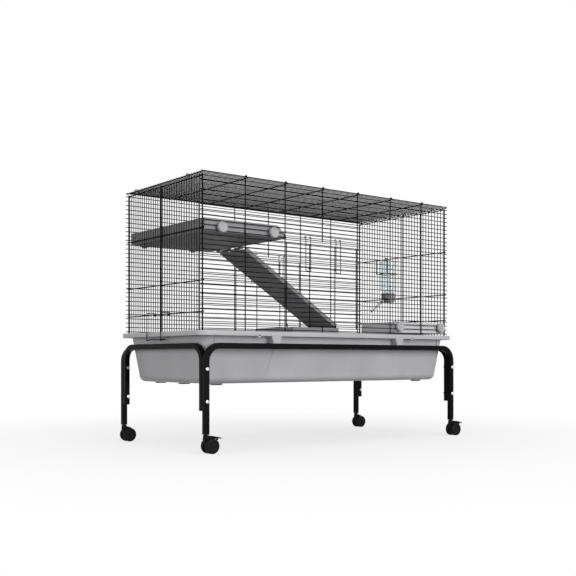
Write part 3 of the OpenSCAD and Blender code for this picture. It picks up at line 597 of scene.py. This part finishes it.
class WIRECAGE_OT_tray(bpy.types.Operator):
    """Mould the tray: leaning walls, a rolled rim, a raised front panel, lugs, posts and feet"""

    bl_idname = "wire_cage.tray"
    bl_label = "Tray"
    # All of these are in millimetres
    RIM_HEIGHT = 13
    RIM_REACH = 19.5
    DEPTH = 127
    WALL = 3
    LEAN = 18
    # Radius at which the walls' foot turns in to the floor, and what the corners gain up the wall
    FOOT_RADIUS = 20
    CORNER_GAIN = 10
    # The lugs reach this far past the rim in front and behind
    LUG_REACH = 1.5
    # Feet under the corners and the middle of each end, round the cage's middle
    FEET = ((-380, -148), (-380, 148), (380, -148), (380, 148), (-390, 0), (390, 0))

    def execute(self, context):
        grey = moulded_polypropylene(
            "moulded_polypropylene_tray", settings().tray_grey, (0.34, 0.48)
        )
        top = RIM_TOP / MM
        ledge = top - 6
        rim_x = (TRAY_HIGH.x - TRAY_LOW.x) / 2 / MM
        rim_y = (TRAY_HIGH.y - TRAY_LOW.y) / 2 / MM - self.LUG_REACH
        wall_x, wall_y = rim_x - self.RIM_REACH, rim_y - self.RIM_REACH
        base_x = wall_x - self.LEAN - self.FOOT_RADIUS
        base_y = wall_y - self.LEAN - self.FOOT_RADIUS
        base = top - self.RIM_HEIGHT - self.DEPTH + self.FOOT_RADIUS
        # The outside from the floor's edge up, then the rim, then the inside down again
        rings = [
            self.foot_ring(base_x, base_y, base, self.FOOT_RADIUS, a) for a in range(0, 91, 10)
        ]
        for step in range(1, 11):
            t = step / 10
            height = base + (ledge - 4 - base) * t
            proud = settings().panel_step / MM * min(1.0, 6 * t, 6 * (1 - t))
            rings.append(self.side_ring(base_x, base_y, self.FOOT_RADIUS, t, height, proud))
        # Growth from the rim's edge, height from its top and corner radius, round its section
        rim = [
            (-19.5, -9, 30), (-4, -9, 24), (-3, -9.6, 25), (-3, -12.3, 25), (-2.3, -13, 25.7),
            (-0.7, -13, 27.3), (0, -12.3, 28), (0, -1.6, 28), (-0.4, -0.5, 27.6), (-1.3, 0, 26.7),
            (-2.1, 0, 25.9), (-2.8, -0.5, 25.2), (-3, -1.3, 25), (-3, -5.4, 25), (-3.6, -6, 24.4),
            (-21.5, -6, 28), (-22.3, -6.4, 27.3),
        ]
        for grow, rise, radius in rim:
            rings.append(self.wall_ring(rim_x + grow, rim_y + grow, radius, top + rise, 0))
        inside = self.FOOT_RADIUS - self.WALL
        for step in range(1, 7):
            t = 1 - step / 6
            height = base + (ledge - 3 - base) * t
            rings.append(self.side_ring(base_x, base_y, inside, t, height, 0))
        rings += [self.foot_ring(base_x, base_y, base, inside, a) for a in range(75, -1, -15)]
        bm = bmesh.new()
        loft(bm, [from_cage(ring) for ring in rings])
        self.add_fittings(bm, rim_y, wall_y, ledge, top)
        shell = finish_mesh("tray_shell", bm, grey, angle=32)
        take_over(shell, "tray")
        bm = bmesh.new()
        low = TRAY_LOW.z / MM
        for x, y in self.FEET:
            corners = from_cage([(x - 15, y - 7, low), (x + 15, y + 7, low + 3.4)])
            rounded_block(bm, corners[0], corners[1], 1.2 * MM)
        pads = finish_mesh("tray_foot_pads", bm, rubber_foot())
        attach(pads, body_of_node("tray"))
        return {"FINISHED"}

    def foot_ring(self, half_x, half_y, middle, radius, turn):
        """One ring of the round foot, this many degrees up from the floor."""
        s, c = math.sin(math.radians(turn)), math.cos(math.radians(turn))
        return self.wall_ring(
            half_x + radius * s, half_y + radius * s, max(radius * s, 0.5), middle - radius * c, 0
        )

    def side_ring(self, half_x, half_y, radius, t, height, proud):
        """One ring of the leaning side, where t runs from 0 at the foot to 1 under the rim."""
        out = radius + self.LEAN * t
        return self.wall_ring(
            half_x + out, half_y + out, radius + self.CORNER_GAIN * t, height, proud
        )

    def wall_ring(self, half_x, half_y, radius, height, proud):
        """One ring round the tray; front and back, a panel is proud between slanted grooves."""
        points = corner_ring(half_x, half_y, radius, height)
        # The grooves spread as they go down; round the rim, where nothing is proud, they stay put
        edge = 228 + (261 - height) * 0.256 if height < RIM_TOP / MM - 8 else 217
        edge = min(max(edge, 212), 255)
        half = [
            (edge + 30, 0), (edge + 1.8, 0), (edge + 0.6, -0.7 * proud), (edge - 0.6, proud),
            (150, proud), (75, proud),
        ]
        stops = half + [(0, proud)] + [(-x, rise) for x, rise in reversed(half)]
        ring = []
        for index, point in enumerate(points):
            ring.append(point)
            # The back wall follows the first corner, and the front wall the third
            if index == CORNER_STEPS:
                ring += [(x, half_y + rise, height) for x, rise in stops]
            if index == 3 * CORNER_STEPS + 2:
                ring += [(-x, -half_y - rise, height) for x, rise in stops]
        return ring

    def add_fittings(self, bm, rim_y, wall_y, ledge, top):
        """Lugs that sit on the tubes, nubs under the rim, posts and the feet's moulded sockets."""
        for sy in (-1, 1):
            for sx in (-1, 1):
                x = sx * 233
                lug = [
                    (x - 11.5, 285.5), (x + 11.5, 285.5),
                    (x + 17.5, ledge - 3), (x - 17.5, ledge - 3),
                ]
                y0, y1 = sy * wall_y - sy * 3, sy * (wall_y + 21)
                front = [bm.verts.new(p) for p in from_cage([(a, y1, b) for a, b in lug])]
                back = [bm.verts.new(p) for p in from_cage([(a, y0, b) for a, b in lug])]
                faces = [bm.faces.new(front), bm.faces.new(list(reversed(back)))]
                for i in range(4):
                    j = (i + 1) % 4
                    faces.append(bm.faces.new((front[i], back[i], back[j], front[j])))
                edges = {e for f in faces for e in f.edges}
                bmesh.ops.bevel(bm, geom=list(edges), offset=0.8 * MM, segments=2, affect="EDGES")
                nub = from_cage([(sx * 290, sy * (rim_y - 1.5), top - 12.6)])[0]
                turn = Matrix.Translation(nub) @ Matrix.Rotation(math.radians(90), 4, "X")
                button = [
                    (0, -1.5 * MM), (4.2 * MM, -1.5 * MM), (5 * MM, -0.8 * MM),
                    (5 * MM, 0.8 * MM), (4.2 * MM, 1.5 * MM), (0, 1.5 * MM),
                ]
                turned_form(bm, button, turn, steps=24)
                corners = from_cage([
                    (sx * 420 - 1.5, sy * (wall_y - 3) - 3.5, 267.5),
                    (sx * 420 + 1.5, sy * (wall_y - 3) + 3.5, ledge - 2.5),
                ])
                rounded_block(bm, corners[0], corners[1], 0.5 * MM)
        low = TRAY_LOW.z / MM
        for x, y in self.FEET:
            corners = from_cage([(x - 16, y - 8, low + 1.5), (x + 16, y + 8, low + 6)])
            rounded_block(bm, corners[0], corners[1], 1.0 * MM)


class WIRECAGE_OT_shelves(bpy.types.Operator):
    """Finish the platform, the shelves and the ramp, and roll the walls' top edges"""

    bl_idname = "wire_cage.shelves"
    bl_label = "Platform, shelves and ramp"

    def execute(self, context):
        # The platform, landing and ramp take a darker copy of the low shelf's plastic: the
        # darkening is painted shade
        grey = moulded_polypropylene(
            "moulded_polypropylene_shelf_painted_shade", settings().shelf_grey_painted_shade, (0.5, 0.65), 0.12
        )
        dress(["platform", "landing_shelf", "ramp"], grey)
        pale = moulded_polypropylene(
            "moulded_polypropylene_low_shelf", settings().low_shelf_grey, (0.5, 0.65), 0.2
        )
        dress(["low_shelf"], pale)
        low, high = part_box("low_shelf")
        top = high.z
        inset = 1.7 * MM
        path = [Vector((x, y, top - 1.4 * MM)) for x, y in (
            (low.x + inset, low.y + inset), (high.x - inset, low.y + inset),
            (high.x - inset, high.y - inset), (low.x + inset, high.y - inset))]
        self.bead("low_shelf_rolled_edge", path, "low_shelf", pale)
        # The platform's long walls slope down to its low end wall over their last 28.6 mm
        low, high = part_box("platform")
        x0, x1 = low.x + inset, low.x + 266.8 * MM
        bend = x1 - 28.6 * MM
        y0, y1 = low.y + inset, high.y - inset
        top = high.z - 1.4 * MM
        end = high.z - 27.4 * MM
        path = [Vector(point) for point in (
            (x1, y0, end), (bend, y0, top), (x0, y0, top),
            (x0, y1, top), (bend, y1, top), (x1, y1, end))]
        self.bead("platform_rolled_edge", path, "platform", grey)
        return {"FINISHED"}

    def bead(self, name, path, node, material):
        """Round bead along a closed path on top of the walls, as a moulding's rolled edge."""
        radius = 1.7 * MM
        flatness = 0.82
        sides = 16
        turns = [2 * math.pi * k / sides for k in range(sides)]
        bm = bmesh.new()
        rings = []
        count = len(path)
        for i, point in enumerate(path):
            ahead = (path[(i + 1) % count] - point).normalized()
            behind = (point - path[i - 1]).normalized()
            along = (ahead + behind).normalized()
            side = along.cross(Vector((0, 0, 1))).normalized()
            up = side.cross(along).normalized()
            stretch = 1 / max(0.5, along.dot(ahead))
            rings.append([
                bm.verts.new(
                    point + side * math.cos(a) * radius * stretch
                    + up * math.sin(a) * radius * flatness
                )
                for a in turns
            ])
        for i in range(count):
            first, second = rings[i], rings[(i + 1) % count]
            for k in range(sides):
                m = (k + 1) % sides
                bm.faces.new((first[k], first[m], second[m], second[k]))
        piece = finish_mesh(name, bm, material, angle=50)
        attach(piece, body_of_node(node))


class WIRECAGE_OT_knobs(bpy.types.Operator):
    """Mould the clamp knobs: twelve flutes, a rolled edge and a dished face"""

    bl_idname = "wire_cage.knobs"
    bl_label = "Clamp knobs"

    def execute(self, context):
        pale = moulded_polypropylene(
            "moulded_polypropylene_knob", settings().knob_grey, (0.36, 0.5)
        )
        depth = settings().flute_depth
        for node in [name for name in NODES if "_knob_" in name]:
            low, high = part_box(node)
            side = -1 if high.y < 0 else 1
            face = low.y if side < 0 else high.y
            # The head is 10 mm thick, and both profiles are measured from its back
            back = Vector(((low.x + high.x) / 2, face - side * 10 * MM, (low.z + high.z) / 2))
            place = Matrix.Translation(back) @ Matrix.Rotation(math.radians(-90 * side), 4, "X")
            r = (high.z - low.z) / 2
            head = [
                (0, 0), (r - 1.2 * MM, 0, 1), (r - 0.3 * MM, 0.5 * MM, 1), (r, 1.4 * MM, 1),
                (r, 6.6 * MM, 1), (r - 0.4 * MM, 8 * MM, 1), (r - 1.4 * MM, 9.2 * MM, 0.8),
                (r - 3 * MM, 10 * MM, 0.3), (r - 4.2 * MM, 9.8 * MM), (r - 5.4 * MM, 8.9 * MM),
                (7 * MM, 8.4 * MM), (4.5 * MM, 8.6 * MM), (3.9 * MM, 9.2 * MM), (0, 9.3 * MM),
            ]
            shank = [
                (0, -15.05 * MM), (2.1 * MM, -15.05 * MM), (2.5 * MM, -14.6 * MM),
                (2.5 * MM, 0.5 * MM), (0, 0.5 * MM),
            ]
            bm = bmesh.new()
            turned_form(bm, head, place, steps=96, flutes=12, flute_depth=depth)
            turned_form(bm, shank, place, steps=24)
            take_over(finish_mesh(node + "_fluted", bm, pale), node)
        return {"FINISHED"}


class WIRECAGE_OT_bottle(bpy.types.Operator):
    """Blow the clear bottle with its ribs, and finish the cap, the spout and its ball"""

    bl_idname = "wire_cage.bottle"
    bl_label = "Water bottle"

    def execute(self, context):
        cap = moulded_polypropylene("moulded_polypropylene_cap", settings().cap_grey, (0.38, 0.5))
        dress(["bottle_cap"], cap)
        dress(["bottle_spout", "spout_ball"], drawn_stainless())
        low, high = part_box("bottle")
        place = Matrix.Translation(((low.x + high.x) / 2, (low.y + high.y) / 2, low.z))
        r = (high.x - low.x) / 2
        tall = high.z - low.z
        wall = 1.4 * MM
        # The neck and the shoulder, which point down
        outer = [
            (20 * MM, 0), (20 * MM, 16 * MM), (22.5 * MM, 20 * MM), (r - 2 * MM, 24 * MM),
            (r - 0.5 * MM, 26 * MM), (r, 29 * MM),
        ]
        # Three shallow ribs stiffen the body
        for level in (48, 72, 96):
            outer += [
                (r, (level - 3) * MM), (r - 0.9 * MM, (level - 1) * MM),
                (r - 0.9 * MM, (level + 1) * MM), (r, (level + 3) * MM),
            ]
        bend = tall - 6 * MM
        outer += [
            (r, bend), (r - 0.6 * MM, tall - 3.4 * MM), (r - 2.2 * MM, tall - 1.4 * MM),
            (r - 5 * MM, tall - 0.2 * MM), (r - 8 * MM, tall), (0, tall),
        ]
        inner = [
            (max(x - wall, 0), h - (wall if h > bend else 0)) for x, h in reversed(outer)
        ]
        bm = bmesh.new()
        turned_form(bm, outer[::-1] + inner[::-1], place, steps=96)
        bmesh.ops.remove_doubles(bm, verts=bm.verts, dist=1e-6)
        take_over(finish_mesh("bottle_blown", bm, clear_blown_plastic()), "bottle")
        return {"FINISHED"}


class WIRECAGE_PT_panel(bpy.types.Panel):
    """Lists the steps that dress the cage"""

    bl_idname = "WIRECAGE_PT_panel"
    bl_label = "Wire Cage"
    bl_space_type = "VIEW_3D"
    bl_region_type = "UI"
    bl_category = "Wire Cage"

    def draw(self, context):
        for name in WireCageSettings.__annotations__:
            self.layout.prop(context.scene.wire_cage, name)
        for step in STEPS:
            self.layout.operator(step.bl_idname)


STEPS = (
    WIRECAGE_OT_stage,
    WIRECAGE_OT_wire,
    WIRECAGE_OT_stand,
    WIRECAGE_OT_casters,
    WIRECAGE_OT_tray,
    WIRECAGE_OT_shelves,
    WIRECAGE_OT_knobs,
    WIRECAGE_OT_bottle,
)
CLASSES = (WireCageSettings, *STEPS, WIRECAGE_PT_panel)


def register():
    for cls in CLASSES:
        bpy.utils.register_class(cls)
    bpy.types.Scene.wire_cage = bpy.props.PointerProperty(type=WireCageSettings)


def unregister():
    del bpy.types.Scene.wire_cage
    for cls in reversed(CLASSES):
        bpy.utils.unregister_class(cls)


def main():
    register()
    bpy.ops.wire_cage.stage()
    bpy.ops.wire_cage.wire()
    bpy.ops.wire_cage.stand()
    bpy.ops.wire_cage.casters()
    bpy.ops.wire_cage.tray()
    bpy.ops.wire_cage.shelves()
    bpy.ops.wire_cage.knobs()
    bpy.ops.wire_cage.bottle()
    bpy.context.view_layer.update()


if __name__ == "__main__":
    main()
